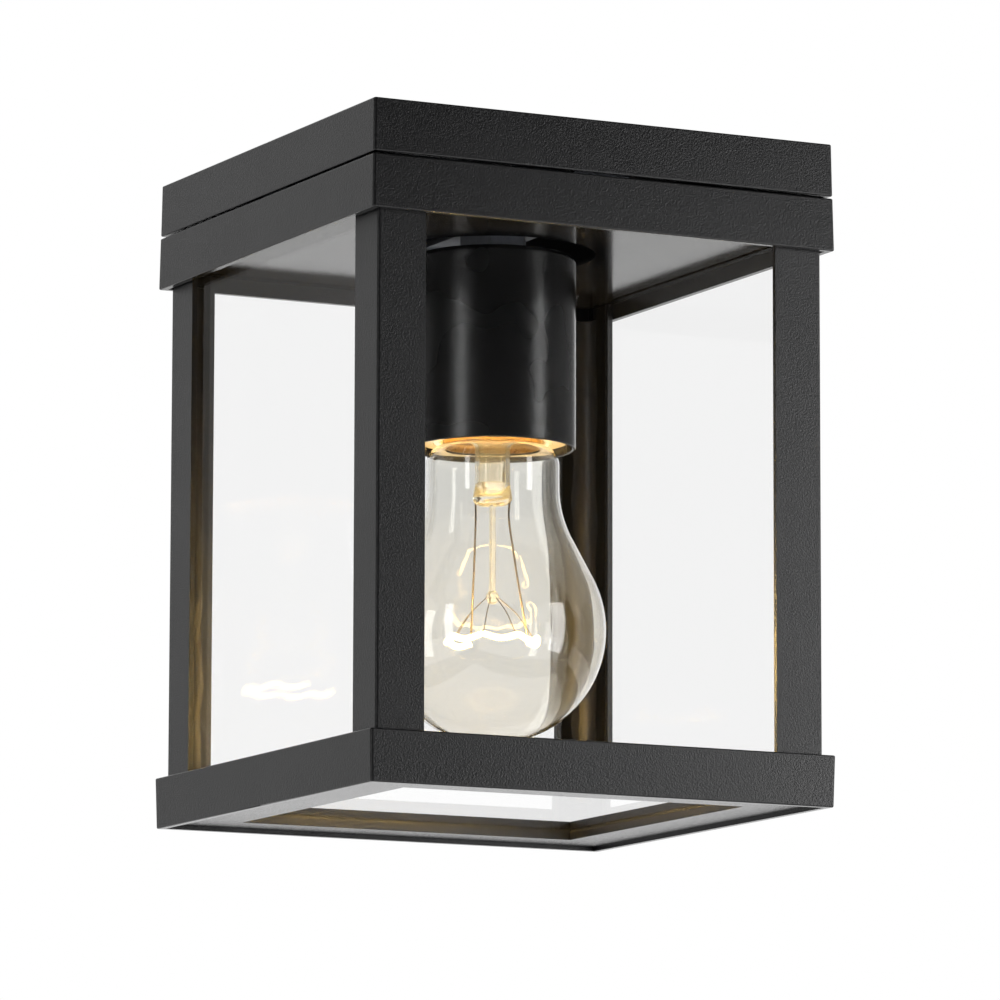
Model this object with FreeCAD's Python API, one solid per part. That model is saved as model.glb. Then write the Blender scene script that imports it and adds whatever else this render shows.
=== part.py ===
import FreeCAD
import Part
import math
import os

# Porch ceiling lantern: a square canopy, and below it a glazed cage that slides up over the
# lamp-holder cup and is clamped to four ears on the canopy.  Lengths are in millimetres.
# The origin is the centre of the ceiling face; +Z points up into the ceiling.
# Front is -Y, back +Y, left -X and right +X.

V = FreeCAD.Vector
UP = V(0, 0, 1)
SIDES = 4

# ---- outer form -------------------------------------------------------------------------------
lantern_width = 135.0        # lower edge of the head band, the widest line
canopy_height = 14.0
shadow_gap = 0.6             # dark line between canopy and head band
head_height = 14.1
window_height = 133.65       # clear height of the posts between the two bands
frame_height = 13.65         # bottom frame
canopy_draft = 0.2           # each side, wider towards the floor
canopy_step = 0.05           # canopy's lower edge inside the head's upper edge
head_draft = 0.25
frame_step = 0.25            # bottom frame's upper edge inside the head's lower edge
frame_draft = 0.35           # each side, narrower towards the floor
band_wall = 2.0
canopy_sheet = 1.5
edge_radius = 0.4            # broken edges of the bands
corner_radius = 0.7          # upright corners of the bands

# ---- posts, panes and plates --------------------------------------------------------------------
overhang = 2.8               # head band proud of the posts
post_flange = 13.6
post_sheet = 1.5
glass_thickness = 3.0
bond_gap = 0.2               # sealant film between post flange and pane
pane_side_gap = 0.3          # where one pane butts against another
pane_end_gap = 0.3
plate_sheet = 1.0            # ceiling plate, a tray with its rim turned up
plate_recess = 4.2           # plate's underside above the head's lower edge
plate_rim_height = 7.5
plate_rim_gap = 0.1
plate_hole_diameter = 55.0
flange_lip = 1.0             # bottom frame's wall hangs this far below its flange
flange_sheet = 2.0
bottom_lap = 10.6            # bottom flange reaches in past the panes' inner faces
gasket_height = 0.5
gasket_setback = 0.6         # from the edge of the opening
gasket_width = 6.0
bottom_glass_gap = 0.5       # between the loose bottom glass and the panes
seal_strip_width = 8.0
seal_strip_inset = 1.6       # from the flange's free edge
corner_bead_leg = 5.0
corner_bead_end_gap = 1.5

# ---- clamp ears and screws ----------------------------------------------------------------------
ear_gap = 0.3                # running gap between ear and plate rim
ear_sheet = 1.5
ear_width = 16.0
ear_foot = 12.0
ear_stop_gap = 0.2           # between ear tip and ceiling plate
bend_radius = 1.5
clamp_screw_diameter = 4.0
clamp_screw_rise = 4.5       # screw axis above the ceiling plate's underside
thread_gap = 0.05
clamp_tip_gap = 0.05
screw_head_diameter = 7.6
screw_head_height = 2.2
hex_socket_width = 2.5
hex_socket_depth = 1.2

# ---- canopy fittings ------------------------------------------------------------------------------
slot_spacing = 70.0
slot_width = 5.0
slot_length = 14.0
cable_hole_diameter = 16.0
cable_hole_x = 30.0
cable_hole_y = 30.0
grommet_bore = 9.0
grommet_flange = 3.0
grommet_lip = 1.0            # thickness of each flange
grommet_fit = 0.1
strap_sheet = 1.5
strap_width = 20.0
strap_span = 66.0            # over the outer faces of the legs
strap_foot = 13.0
strap_screw_diameter = 4.0
earth_x = 34.0
earth_y = -30.0
earth_washer_diameter = 10.0
terminal_side_gap = 12.5     # canopy's left wall to the terminal block
terminal_back_gap = 24.5     # canopy's back wall to the block
terminal_length = 30.0
terminal_width = 18.0
terminal_height = 13.0
terminal_poles = 3
terminal_well_diameter = 5.0
terminal_well_depth = 4.0
terminal_wire_hole = 3.6
terminal_corner = 1.2

# ---- lamp holder ----------------------------------------------------------------------------------
cup_diameter = 44.4
cup_length = 51.8
cup_wall = 1.0
cup_edge_radius = 1.2
cup_below_plate = 1.0        # cup's closed end below the ceiling plate's underside
washer_diameter = 20.0
washer_height = 1.0
nut_width = 17.0             # across flats
lower_nut_height = 4.5
upper_nut_height = 4.0
nipple_diameter = 10.0
nipple_bore = 7.0
nipple_in_holder = 8.0
nipple_above_nut = 1.2
holder_fit = 0.3             # holder body inside the cup
holder_recess = 1.5          # holder's face above the cup's rim
holder_neck_diameter = 16.0
holder_neck_height = 8.0
holder_shoulder = 5.0
socket_shell_diameter = 27.0 # inside the threaded shell, over its crests
socket_shell_sheet = 0.4
socket_shell_length = 20.0
socket_shell_recess = 2.5    # shell's mouth above the holder's face
socket_floor_gap = 4.0       # between the lamp's contact and the socket floor
socket_chamfer = 1.2
tongue_width = 6.0
tongue_sheet = 0.5
tongue_length = 14.0
tongue_gap = 0.3
screw_shell_gap = 0.5        # lamp cap inside the threaded shell

# ---- lamp -----------------------------------------------------------------------------------------
bulb_diameter = 60.5
bulb_length = 105.0          # contact to tip
envelope_wall = 0.7
neck_diameter = 35.8
flare_angle = 27.5           # slope of the flare from the axis, degrees
flare_radius = 30.0          # hollow curve from flare to neck
shoulder_radius = 5.5        # round curve from neck to cap
cap_length = 25.0            # skirt to contact
cap_sheet = 0.3
cap_above_rim = 1.05         # cap's skirt above the cup's rim
glass_in_cap = 4.0
cap_cone_height = 3.0
cap_top_diameter = 17.0
cap_top_bore = 12.0
insulator_diameter = 15.0
insulator_height = 1.0
insulator_gap = 0.05
contact_diameter = 9.0
contact_height = 1.0
stem_diameter = 9.4
stem_wall = 1.0
stem_flare_height = 5.0
mount_turn = -38.5           # the pinch about the lamp's axis once it is screwed home, degrees
pinch_width = 11.0
pinch_height = 6.0
pinch_thickness = 3.6
stem_drop = 16.5             # flare to the lower end of the pinch
arbor_diameter = 2.2
arbor_length = 24.3
arbor_button_diameter = 3.6
lead_diameter = 0.7
lead_spread_top = 9.2        # between the two leads where they leave the pinch
lead_straight = 5.0          # they part only below this
filament_diameter = 0.8
filament_radius = 12.0
filament_below_centre = 2.2
filament_gap_angle = 80.0    # open part of the ring, between the two leads
filament_spans = 6
filament_sag = 1.2           # how far each span droops between its hooks
support_diameter = 0.4

# ---- levels ---------------------------------------------------------------------------------------
canopy_bottom_z = -canopy_height
head_top_z = canopy_bottom_z - shadow_gap
head_bottom_z = head_top_z - head_height
frame_top_z = head_bottom_z - window_height
frame_bottom_z = frame_top_z - frame_height
plate_z = head_bottom_z + plate_recess
plate_top_z = plate_z + plate_sheet
flange_z = frame_bottom_z + flange_lip
flange_top_z = flange_z + flange_sheet
bottom_glass_z = flange_top_z + gasket_height
cup_top_z = plate_z - cup_below_plate
cup_bottom_z = cup_top_z - cup_length
strap_z = cup_top_z + washer_height + lower_nut_height
strap_top_z = strap_z + strap_sheet
holder_face_z = cup_bottom_z + holder_recess
cap_skirt_z = cup_bottom_z + cap_above_rim
contact_z = cap_skirt_z + cap_length
bulb_tip_z = contact_z - bulb_length
bulb_centre_z = bulb_tip_z + bulb_diameter / 2
stem_end_z = cap_skirt_z - stem_drop
filament_z = bulb_centre_z - filament_below_centre

# ---- half widths ----------------------------------------------------------------------------------
head_bottom_half = lantern_width / 2
head_top_half = head_bottom_half - head_draft
canopy_bottom_half = head_top_half - canopy_step
canopy_top_half = canopy_bottom_half - canopy_draft
frame_top_half = head_bottom_half - frame_step
frame_bottom_half = frame_top_half - frame_draft
post_half = head_bottom_half - overhang
flange_inner_half = post_half - post_sheet
pane_half = flange_inner_half - bond_gap
pane_inner_half = pane_half - glass_thickness
plate_half = head_top_half - band_wall - plate_rim_gap
ear_half = plate_half - plate_sheet - ear_gap
bottom_glass_half = pane_inner_half - bottom_glass_gap
cup_bore_radius = cup_diameter / 2 - cup_wall
socket_radius = socket_shell_diameter / 2
cap_radius = socket_radius - screw_shell_gap
strap_half = strap_span / 2
opening_half = pane_inner_half - bottom_lap
canopy_inner_half = canopy_top_half - canopy_sheet
terminal_x = terminal_side_gap + terminal_length / 2 - canopy_inner_half
terminal_y = canopy_inner_half - terminal_back_gap - terminal_width / 2


def box(x0, x1, y0, y1, z0, z1):
    """A block between two opposite corners."""
    return Part.makeBox(x1 - x0, y1 - y0, z1 - z0, V(x0, y0, z0))


def rod(radius, z0, z1, x=0.0, y=0.0):
    """An upright cylinder."""
    return Part.makeCylinder(radius, z1 - z0, V(x, y, z0))


def square_wire(half, z):
    """A square outline at one level."""
    corners = [V(-half, -half, z), V(half, -half, z), V(half, half, z), V(-half, half, z)]
    return Part.makePolygon(corners + corners[:1])


def frustum(half_top, z_top, half_bottom, z_bottom):
    """A square block whose sides have draft."""
    return Part.makeLoft([square_wire(half_bottom, z_bottom), square_wire(half_top, z_top)], True, True)


def is_upright(edge):
    """True for an edge that climbs from one level to another."""
    ends = [vertex.Point for vertex in edge.Vertexes]
    return len(ends) == 2 and abs(ends[0].z - ends[1].z) > abs(ends[0].x - ends[1].x) * 5


def soften(block, levels):
    """Round a block's upright corners, then its edges at the given levels."""
    block = block.makeFillet(corner_radius, [e for e in block.Edges if is_upright(e)])
    flat = [e for e in block.Edges if any(is_at_level(e, z) for z in levels)]
    return block.makeFillet(edge_radius, flat)


def is_at_level(edge, z):
    """True for an edge that lies at one level."""
    low, high = edge.BoundBox.ZMin, edge.BoundBox.ZMax
    return abs(low - z) < 0.01 and abs(high - z) < 0.01


def quarter_turn(shape, quarters):
    """A copy turned about the lantern's axis."""
    copy = shape.copy()
    copy.rotate(V(0, 0, 0), UP, 90 * quarters)
    return copy


def revolve(edges):
    """A solid of revolution from a closed outline in the X-Z plane."""
    face = Part.Face(Part.Wire(edges))
    return face.revolve(V(0, 0, 0), UP, 360)


def line(a, b):
    """A straight edge between two (radius, level) points."""
    return Part.makeLine(V(a[0], 0, a[1]), V(b[0], 0, b[1]))


def arc(centre, radius, start, end):
    """An arc in the X-Z plane between two angles in degrees."""
    def at(angle):
        turn = math.radians(angle)
        return V(centre[0] + radius * math.cos(turn), 0, centre[1] + radius * math.sin(turn))
    return Part.Arc(at(start), at((start + end) / 2), at(end)).toShape()


def outline(points):
    """Straight edges through (radius, level) points, closed."""
    return [line(a, b) for a, b in zip(points, points[1:] + points[:1])]


def bent_strip(points, thickness, width):
    """Sheet metal below and outside a line of (y, z) points, with the given width along X."""
    runs = [Part.makeLine(V(0, a[0], a[1]), V(0, b[0], b[1])) for a, b in zip(points, points[1:])]
    edges = [runs[0]]
    for run in runs[1:]:
        before, bend, after = fillet_corner(edges[-1], run)
        edges[-1:] = [before, bend, after]
    face = Part.Wire(edges).makeOffset2D(thickness, 0, True, True)
    strip = face.extrude(V(width, 0, 0))
    strip.translate(V(-width / 2, 0, 0))
    return strip


def fillet_corner(first, second):
    """Two straight edges that meet, joined by the bend's arc."""
    corner = second.Vertexes[0].Point
    back = (first.Vertexes[0].Point - corner).normalize()
    ahead = (second.Vertexes[-1].Point - corner).normalize()
    setback = bend_radius / math.tan(back.getAngle(ahead) / 2)
    middle = (back + ahead).normalize()
    reach = bend_radius / math.sin(back.getAngle(ahead) / 2) - bend_radius
    start, end = corner + back * setback, corner + ahead * setback
    bend = Part.Arc(start, corner + middle * reach, end).toShape()
    return (Part.makeLine(first.Vertexes[0].Point, start), bend,
            Part.makeLine(end, second.Vertexes[-1].Point))


def hex_prism(width, z0, z1):
    """A hexagonal bar, measured across flats."""
    reach = width / math.sqrt(3)
    points = [V(reach * math.cos(math.radians(60 * i)), reach * math.sin(math.radians(60 * i)), z0)
              for i in range(6)]
    return Part.Face(Part.makePolygon(points + points[:1])).extrude(V(0, 0, z1 - z0))


def round_bar(points, diameter):
    """A wire with mitred joints through a list of points."""
    pieces = []
    for a, b in zip(points, points[1:]):
        pieces.append(Part.makeCylinder(diameter / 2, (b - a).Length, a, b - a))
    for joint in points[1:-1]:
        pieces.append(Part.makeSphere(diameter / 2, joint))
    return pieces[0].multiFuse(pieces[1:])


# ---- canopy and what it carries -------------------------------------------------------------------

def canopy():
    """Pan against the ceiling: two screw slots and the cable hole in its top sheet."""
    pan = soften(frustum(canopy_top_half, 0, canopy_bottom_half, canopy_bottom_z), [0, canopy_bottom_z])
    hollow = frustum(canopy_inner_half, -canopy_sheet,
                     canopy_bottom_half - canopy_sheet, canopy_bottom_z)
    pan = pan.cut(hollow)
    for side in (-1, 1):
        pan = pan.cut(slot_cutter(side * slot_spacing / 2))
    return pan.cut(rod(cable_hole_diameter / 2, -canopy_sheet, 0, cable_hole_x, cable_hole_y))


def slot_cutter(x):
    """Material removed by one ceiling-screw slot."""
    half_run = (slot_length - slot_width) / 2
    ends = [rod(slot_width / 2, -canopy_sheet, 0, x + side * half_run) for side in (-1, 1)]
    middle = box(x - half_run, x + half_run, -slot_width / 2, slot_width / 2, -canopy_sheet, 0)
    return middle.multiFuse(ends)


def cable_grommet():
    """Rubber bush in the cable hole; its groove grips the sheet and its top stays flush."""
    bore, groove = grommet_bore / 2, cable_hole_diameter / 2 - grommet_fit
    reach = cable_hole_diameter / 2 + grommet_flange
    sheet = canopy_sheet + grommet_fit
    points = [(bore, 0), (groove, 0), (groove, -sheet), (reach, -sheet),
              (reach - grommet_lip / 2, -sheet - grommet_lip), (bore, -sheet - grommet_lip * 2)]
    bush = revolve(outline(points))
    bush.translate(V(cable_hole_x, cable_hole_y, 0))
    return bush


def holder_strap():
    """Hat-shaped strap below the canopy; its platform carries the cup's nipple."""
    foot_y = strap_half + strap_foot
    leg_y = strap_half - strap_sheet
    points = [(-foot_y, -canopy_sheet), (-leg_y, -canopy_sheet), (-leg_y, strap_top_z),
              (leg_y, strap_top_z), (leg_y, -canopy_sheet), (foot_y, -canopy_sheet)]
    strap = bent_strip(points, strap_sheet, strap_width)
    holes = [rod(nipple_diameter / 2 + thread_gap, strap_z, strap_top_z)]
    for y in strap_screw_rows():
        holes.append(rod(strap_screw_diameter / 2, -canopy_sheet - 2 * strap_sheet, 0, 0, y))
    return strap.cut(holes[0].multiFuse(holes[1:]))


def strap_screw_rows():
    """Places of the strap's two screws along Y."""
    reach = strap_half + strap_foot / 2
    return (-reach, reach)


def pan_screw(diameter, head_diameter, head_height, shank):
    """A screw that points up, with its domed head below the level of its seat at zero."""
    rise = (head_diameter ** 2 / 4 + head_height ** 2) / (2 * head_height)
    dome = Part.makeSphere(rise, V(0, 0, rise - head_height))
    head = dome.common(rod(head_diameter / 2, -head_height, 0))
    return head.fuse(rod(diameter / 2 - thread_gap, 0, shank))


def strap_screws():
    """Two pan-head screws up through the strap's feet."""
    screws = []
    for y in strap_screw_rows():
        screw = pan_screw(strap_screw_diameter, screw_head_diameter, screw_head_height, strap_sheet)
        screw.translate(V(0, y, -canopy_sheet - strap_sheet))
        screws.append(screw)
    return Part.makeCompound(screws)


def earth_screw():
    """Earth screw with its cupped washer under the canopy's top sheet."""
    washer = rod(earth_washer_diameter / 2, -canopy_sheet - washer_height, -canopy_sheet)
    screw = pan_screw(strap_screw_diameter, screw_head_diameter, screw_head_height, 0.0)
    screw.translate(V(0, 0, -canopy_sheet - washer_height))
    screw = screw.fuse(washer)
    screw.translate(V(earth_x, earth_y, 0))
    return screw


def clamp_ear():
    """Angle bracket at the back: foot under the canopy, leg down inside the head band."""
    points = [(ear_half - ear_foot, -canopy_sheet), (ear_half, -canopy_sheet),
              (ear_half, plate_top_z + ear_stop_gap)]
    return bent_strip(points, ear_sheet, ear_width)


def clamp_ears():
    """Four equal ears, one at the middle of each side."""
    return Part.makeCompound([quarter_turn(clamp_ear(), i) for i in range(SIDES)])


def terminal_pitch():
    """Distance from pole to pole."""
    return terminal_length / terminal_poles


def terminal_wells():
    """Centres of the screw wells, two for each pole."""
    for pole in range(terminal_poles):
        x = terminal_x + (pole - (terminal_poles - 1) / 2) * terminal_pitch()
        for side in (-1, 1):
            yield x, terminal_y + side * terminal_width / 4


def terminal_block():
    """Moulded block: screw wells from below and one wire passage through each pole."""
    top = -canopy_sheet
    bottom = top - terminal_height
    body = box(terminal_x - terminal_length / 2, terminal_x + terminal_length / 2,
               terminal_y - terminal_width / 2, terminal_y + terminal_width / 2, bottom, top)
    body = body.makeFillet(terminal_corner, [e for e in body.Edges if not is_at_level(e, top)])
    cutters = [rod(terminal_well_diameter / 2, bottom, bottom + terminal_well_depth, x, y)
               for x, y in terminal_wells()]
    for pole in range(terminal_poles):
        x = terminal_x + (pole - (terminal_poles - 1) / 2) * terminal_pitch()
        start = V(x, terminal_y - terminal_width / 2, (top + bottom) / 2)
        cutters.append(Part.makeCylinder(terminal_wire_hole / 2, terminal_width, start, V(0, 1, 0)))
    return body.cut(cutters[0].multiFuse(cutters[1:]))


def terminal_screws():
    """Six slotted screws at the bottom of the wells."""
    bottom = -canopy_sheet - terminal_height
    radius = terminal_well_diameter / 2 - grommet_fit
    floor = bottom + terminal_well_depth
    slot_half = radius / 6
    screws = []
    for x, y in terminal_wells():
        head = rod(radius, floor - terminal_well_depth / 2, floor, x, y)
        groove = box(x - radius, x + radius, y - slot_half, y + slot_half,
                     floor - terminal_well_depth / 2, floor - terminal_well_depth / 4)
        screws.append(head.cut(groove))
    return Part.makeCompound(screws)


# ---- lamp holder ----------------------------------------------------------------------------------

def holder_nipple():
    """Threaded tube that hangs cup and holder from the strap; the wires run inside it."""
    top = strap_top_z + upper_nut_height + nipple_above_nut
    bottom = cup_top_z - cup_wall - nipple_in_holder
    return rod(nipple_diameter / 2, bottom, top).cut(rod(nipple_bore / 2, bottom, top))


def nipple_nuts():
    """One hexagon nut above the strap and one below it."""
    bore = nipple_diameter / 2 + thread_gap
    levels = [(strap_top_z, strap_top_z + upper_nut_height), (strap_z - lower_nut_height, strap_z)]
    nuts = [hex_prism(nut_width, low, high).cut(rod(bore, low, high)) for low, high in levels]
    return Part.makeCompound(nuts)


def cup_washer():
    """Plain washer between the lower nut and the cup."""
    low, high = cup_top_z, cup_top_z + washer_height
    return rod(washer_diameter / 2, low, high).cut(rod(nipple_diameter / 2 + thread_gap, low, high))


def holder_cup():
    """Drawn steel cup over the lamp holder, open towards the floor."""
    radius, inner, hole = cup_diameter / 2, cup_bore_radius, nipple_diameter / 2 + thread_gap
    curve = cup_edge_radius
    edges = [line((hole, cup_top_z), (radius - curve, cup_top_z)),
             arc((radius - curve, cup_top_z - curve), curve, 90, 0),
             line((radius, cup_top_z - curve), (radius, cup_bottom_z)),
             line((radius, cup_bottom_z), (inner, cup_bottom_z)),
             line((inner, cup_bottom_z), (inner, cup_top_z - cup_wall)),
             line((inner, cup_top_z - cup_wall), (hole, cup_top_z - cup_wall)),
             line((hole, cup_top_z - cup_wall), (hole, cup_top_z))]
    return revolve(edges)


def lampholder_body():
    """Glazed porcelain holder: neck for the nipple above, socket for the lamp below."""
    top = cup_top_z - cup_wall
    neck = holder_neck_diameter / 2
    body = cup_bore_radius - holder_fit
    bore = socket_radius + socket_shell_sheet
    floor = contact_z + socket_floor_gap
    nipple_hole = nipple_diameter / 2 + thread_gap
    wire_hole = nipple_bore / 2
    shoulder_z = top - holder_neck_height - holder_shoulder
    points = [(nipple_hole, top), (neck, top), (neck, top - holder_neck_height), (body, shoulder_z),
              (body, holder_face_z), (bore + socket_chamfer, holder_face_z),
              (bore, holder_face_z + socket_chamfer), (bore, floor), (wire_hole, floor),
              (wire_hole, top - nipple_in_holder), (nipple_hole, top - nipple_in_holder)]
    return revolve(outline(points))


def lampholder_shell():
    """Threaded metal shell that grips the lamp's cap."""
    low = holder_face_z + socket_shell_recess
    high = low + socket_shell_length
    sheet_radius = socket_radius + socket_shell_sheet
    return rod(sheet_radius, low, high).cut(rod(socket_radius, low, high))


def lampholder_tongue():
    """Sprung centre contact: a strip bent down from the socket floor to the lamp's contact."""
    floor = contact_z + socket_floor_gap
    low = contact_z + tongue_gap + tongue_sheet
    half = tongue_length / 2
    points = [(-half, floor), (-half / 2, floor), (0, low), (half / 2, low)]
    runs = [V(0, y, z) for y, z in points]
    face = Part.makePolygon(runs).makeOffset2D(tongue_sheet, 2, True, True)
    strip = face.extrude(V(tongue_width, 0, 0))
    strip.translate(V(-tongue_width / 2, 0, 0))
    return strip


# ---- lamp -----------------------------------------------------------------------------------------

def envelope_outline(inset):
    """Edges of the glass from its tip to its upper end, drawn inwards by the inset.

    A ball, a straight flare tangent to it, a hollow curve into the neck and a round shoulder
    into the cap.  Each inset curve is concentric with the outer one, so the wall is even.
    """
    slope = math.radians(flare_angle)
    ball = bulb_diameter / 2 - inset
    hollow = flare_radius + inset
    shoulder = shoulder_radius - inset
    neck = neck_diameter / 2
    run = (bulb_diameter / 2 * math.cos(slope) - neck - flare_radius * (1 - math.cos(slope))) / math.sin(slope)
    ball_end = (ball * math.cos(slope), bulb_centre_z + ball * math.sin(slope))
    hollow_start = (ball_end[0] - run * math.sin(slope), ball_end[1] + run * math.cos(slope))
    hollow_centre = (neck + flare_radius, hollow_start[1] + hollow * math.sin(slope))
    shoulder_centre = (neck - shoulder_radius, cap_skirt_z - shoulder_radius)
    top = cap_skirt_z + glass_in_cap
    end_radius = shoulder_centre[0] - inset
    shoulder_end = math.degrees(math.acos(-inset / shoulder)) if inset else 90
    shoulder_end_z = shoulder_centre[1] + shoulder * math.sin(math.radians(shoulder_end))
    return [arc((0, bulb_centre_z), ball, -90, flare_angle),
            line(ball_end, hollow_start),
            arc(hollow_centre, hollow, 180 + flare_angle, 180),
            line((neck - inset, hollow_centre[1]), (neck - inset, shoulder_centre[1])),
            arc(shoulder_centre, shoulder, 0, shoulder_end),
            line((end_radius, shoulder_end_z), (end_radius, top))]


def bulb_glass():
    """Clear blown envelope, open inside the cap where the stem is sealed in."""
    outer, inner = envelope_outline(0), envelope_outline(envelope_wall)
    top = cap_skirt_z + glass_in_cap
    rim = neck_diameter / 2 - shoulder_radius
    closing = [line((rim, top), (rim - envelope_wall, top)),
               line((0, bulb_tip_z + envelope_wall), (0, bulb_tip_z))]
    return revolve(Part.sortEdges(outer + inner + closing)[0])


def bulb_cap():
    """Screw cap of the lamp: skirt, cylinder and cone up to the insulator."""
    top = contact_z - contact_height - insulator_height - insulator_gap
    cone_z = top - cap_cone_height
    edge, bore = cap_top_diameter / 2, cap_top_bore / 2
    inner = cap_radius - cap_sheet
    points = [(cap_radius, cap_skirt_z), (cap_radius, cone_z), (edge, top), (bore, top),
              (bore, top - cap_sheet), (edge - cap_sheet, top - cap_sheet), (inner, cone_z - cap_sheet),
              (inner, cap_skirt_z)]
    return revolve(outline(points))


def bulb_insulator():
    """Black glass disc between the cap and the contact."""
    high = contact_z - contact_height
    return rod(insulator_diameter / 2, high - insulator_height, high)


def bulb_contact():
    """Solder contact at the lamp's end, slightly domed."""
    low = contact_z - contact_height
    disc = rod(contact_diameter / 2, low, contact_z)
    rim = [e for e in disc.Edges if is_at_level(e, contact_z)]
    return disc.makeFillet(contact_height * 0.6, rim)


def on_mount(shape):
    """A piece of the lamp's inside, turned to the angle at which the lamp is screwed home."""
    copy = shape.copy()
    copy.rotate(V(0, 0, 0), UP, mount_turn)
    return copy


def bulb_stem():
    """Glass stem: flared foot in the neck, tube, flattened pinch and the arbor with its button."""
    radius, bore = stem_diameter / 2, stem_diameter / 2 - stem_wall
    foot = neck_diameter / 2 - shoulder_radius - 2 * envelope_wall
    foot_z = cap_skirt_z + glass_in_cap
    tube_z = foot_z - stem_flare_height
    pinch_z = stem_end_z + pinch_height
    tube = revolve(outline([(foot - stem_wall, foot_z), (foot, foot_z), (radius, tube_z), (radius, pinch_z),
                            (bore, pinch_z), (bore, tube_z)]))
    pinch = box(-pinch_width / 2, pinch_width / 2, -pinch_thickness / 2, pinch_thickness / 2, stem_end_z, pinch_z)
    pinch = pinch.makeFillet(stem_wall, [e for e in pinch.Edges if is_upright(e)])
    arbor = rod(arbor_diameter / 2, stem_end_z - arbor_length, stem_end_z)
    button = Part.makeSphere(arbor_button_diameter / 2, V(0, 0, stem_end_z - arbor_length))
    return on_mount(tube.multiFuse([pinch, arbor, button]))


def filament_point(step, drop=0.0):
    """A point of the filament's ring, counted in hooks from the left lead."""
    sweep = 360 - filament_gap_angle
    turn = math.radians(90 + filament_gap_angle / 2 + sweep * step / filament_spans)
    return V(filament_radius * math.cos(turn), filament_radius * math.sin(turn), filament_z - drop)


def bulb_filament():
    """Coiled tungsten filament, hung in even spans round the arbor; its coil shows as one thick wire."""
    points = [filament_point(0)]
    for span in range(filament_spans):
        points.append(filament_point(span + 0.5, filament_sag))
        points.append(filament_point(span + 1))
    return on_mount(round_bar(points, filament_diameter))


def filament_hooks():
    """Fine support wires from the arbor's button out to the filament."""
    button = V(0, 0, stem_end_z - arbor_length)
    clear = (arbor_button_diameter + support_diameter) / 2
    hooks = []
    for step in range(1, filament_spans):
        tip = filament_point(step)
        way = (tip - button).normalize()
        hooks.append(round_bar([button + way * clear, tip - way * filament_diameter], support_diameter))
    return on_mount(Part.makeCompound(hooks))


def bulb_leads():
    """Two lead wires from the pinch to the ends of the filament."""
    leads = []
    for side, end in ((-1, filament_point(0)), (1, filament_point(filament_spans))):
        top = V(side * lead_spread_top / 2, 0, stem_end_z - thread_gap)
        knee = V(side * lead_spread_top / 2, 0, stem_end_z - lead_straight)
        foot = end + V(0, 0, filament_diameter)
        leads.append(round_bar([top, knee, foot], lead_diameter))
    return on_mount(Part.makeCompound(leads))


# ---- cage -----------------------------------------------------------------------------------------

def head_frame():
    """Welded band below the canopy; the clamp screws are tapped into its right and back sides."""
    band = soften(frustum(head_top_half, head_top_z, head_bottom_half, head_bottom_z),
                  [head_top_z, head_bottom_z])
    hollow = frustum(head_top_half - band_wall, head_top_z, head_bottom_half - band_wall, head_bottom_z)
    return band.cut(hollow).cut(clamp_holes())


def clamp_holes():
    """Material removed by the two clamp screws, through band and plate rim."""
    radius = clamp_screw_diameter / 2
    reach = head_bottom_half - ear_half
    right = Part.makeCylinder(radius, reach, V(ear_half, 0, clamp_z()), V(1, 0, 0))
    return right.fuse(quarter_turn(right, 1))


def clamp_z():
    """Level of the clamp screws."""
    return plate_z + clamp_screw_rise


def band_half_at(z):
    """Half width of the head band's outside at a level."""
    return head_top_half + head_draft * (head_top_z - z) / head_height


def clamp_screws():
    """Two button-head screws whose tips press on the ears at the right and at the back."""
    seat = band_half_at(clamp_z() - screw_head_diameter / 2)
    shank = seat - ear_half - clamp_tip_gap
    screw = pan_screw(clamp_screw_diameter, screw_head_diameter, screw_head_height, shank)
    socket = hex_prism(hex_socket_width, -screw_head_height, hex_socket_depth - screw_head_height)
    screw = screw.cut(socket)
    screw.rotate(V(0, 0, 0), V(0, 1, 0), -90)
    screw.translate(V(seat, 0, clamp_z()))
    return Part.makeCompound([screw, quarter_turn(screw, 1)])


def ceiling_plate():
    """Tray across the head: round hole for the cup, rim turned up against the band."""
    inner = plate_half - plate_sheet
    tray = box(-plate_half, plate_half, -plate_half, plate_half, plate_z, plate_z + plate_rim_height)
    hollow = box(-inner, inner, -inner, inner, plate_top_z, plate_z + plate_rim_height)
    hole = rod(plate_hole_diameter / 2, plate_z, plate_top_z)
    return tray.cut(hollow.fuse(hole)).cut(clamp_holes())


def corner_post():
    """Angle section at the front left corner, from the ceiling plate down to the bottom flange."""
    outer, inner = -post_half, -flange_inner_half
    reach = outer + post_flange
    angle = box(outer, reach, outer, inner, flange_top_z, plate_z)
    angle = angle.fuse(box(outer, inner, outer, reach, flange_top_z, plate_z)).removeSplitter()
    spine = [e for e in angle.Edges if is_upright(e) and abs(e.CenterOfMass.x - outer) < 0.01
             and abs(e.CenterOfMass.y - outer) < 0.01]
    return angle.makeFillet(corner_radius, spine)


def pane(half_length):
    """Front pane, or a shorter one that fits between its neighbours."""
    return box(-half_length, half_length, -pane_half, -pane_inner_half,
               flange_top_z + pane_end_gap, plate_z - pane_end_gap)


def long_pane():
    """Pane that covers a whole side."""
    return pane(pane_half)


def short_pane():
    """Pane between the front and back panes."""
    return pane(pane_inner_half - pane_side_gap)


def pane_sealant():
    """Films of black sealant that bond each pane to the flanges of two posts."""
    start = post_half - post_flange + seal_strip_inset
    strip = box(start, start + seal_strip_width, -flange_inner_half, -pane_half,
                flange_top_z + pane_end_gap, plate_z - pane_end_gap)
    pair = [strip, strip.mirror(V(0, 0, 0), V(1, 0, 0))]
    return Part.makeCompound([quarter_turn(s, i) for i in range(SIDES) for s in pair])


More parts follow.
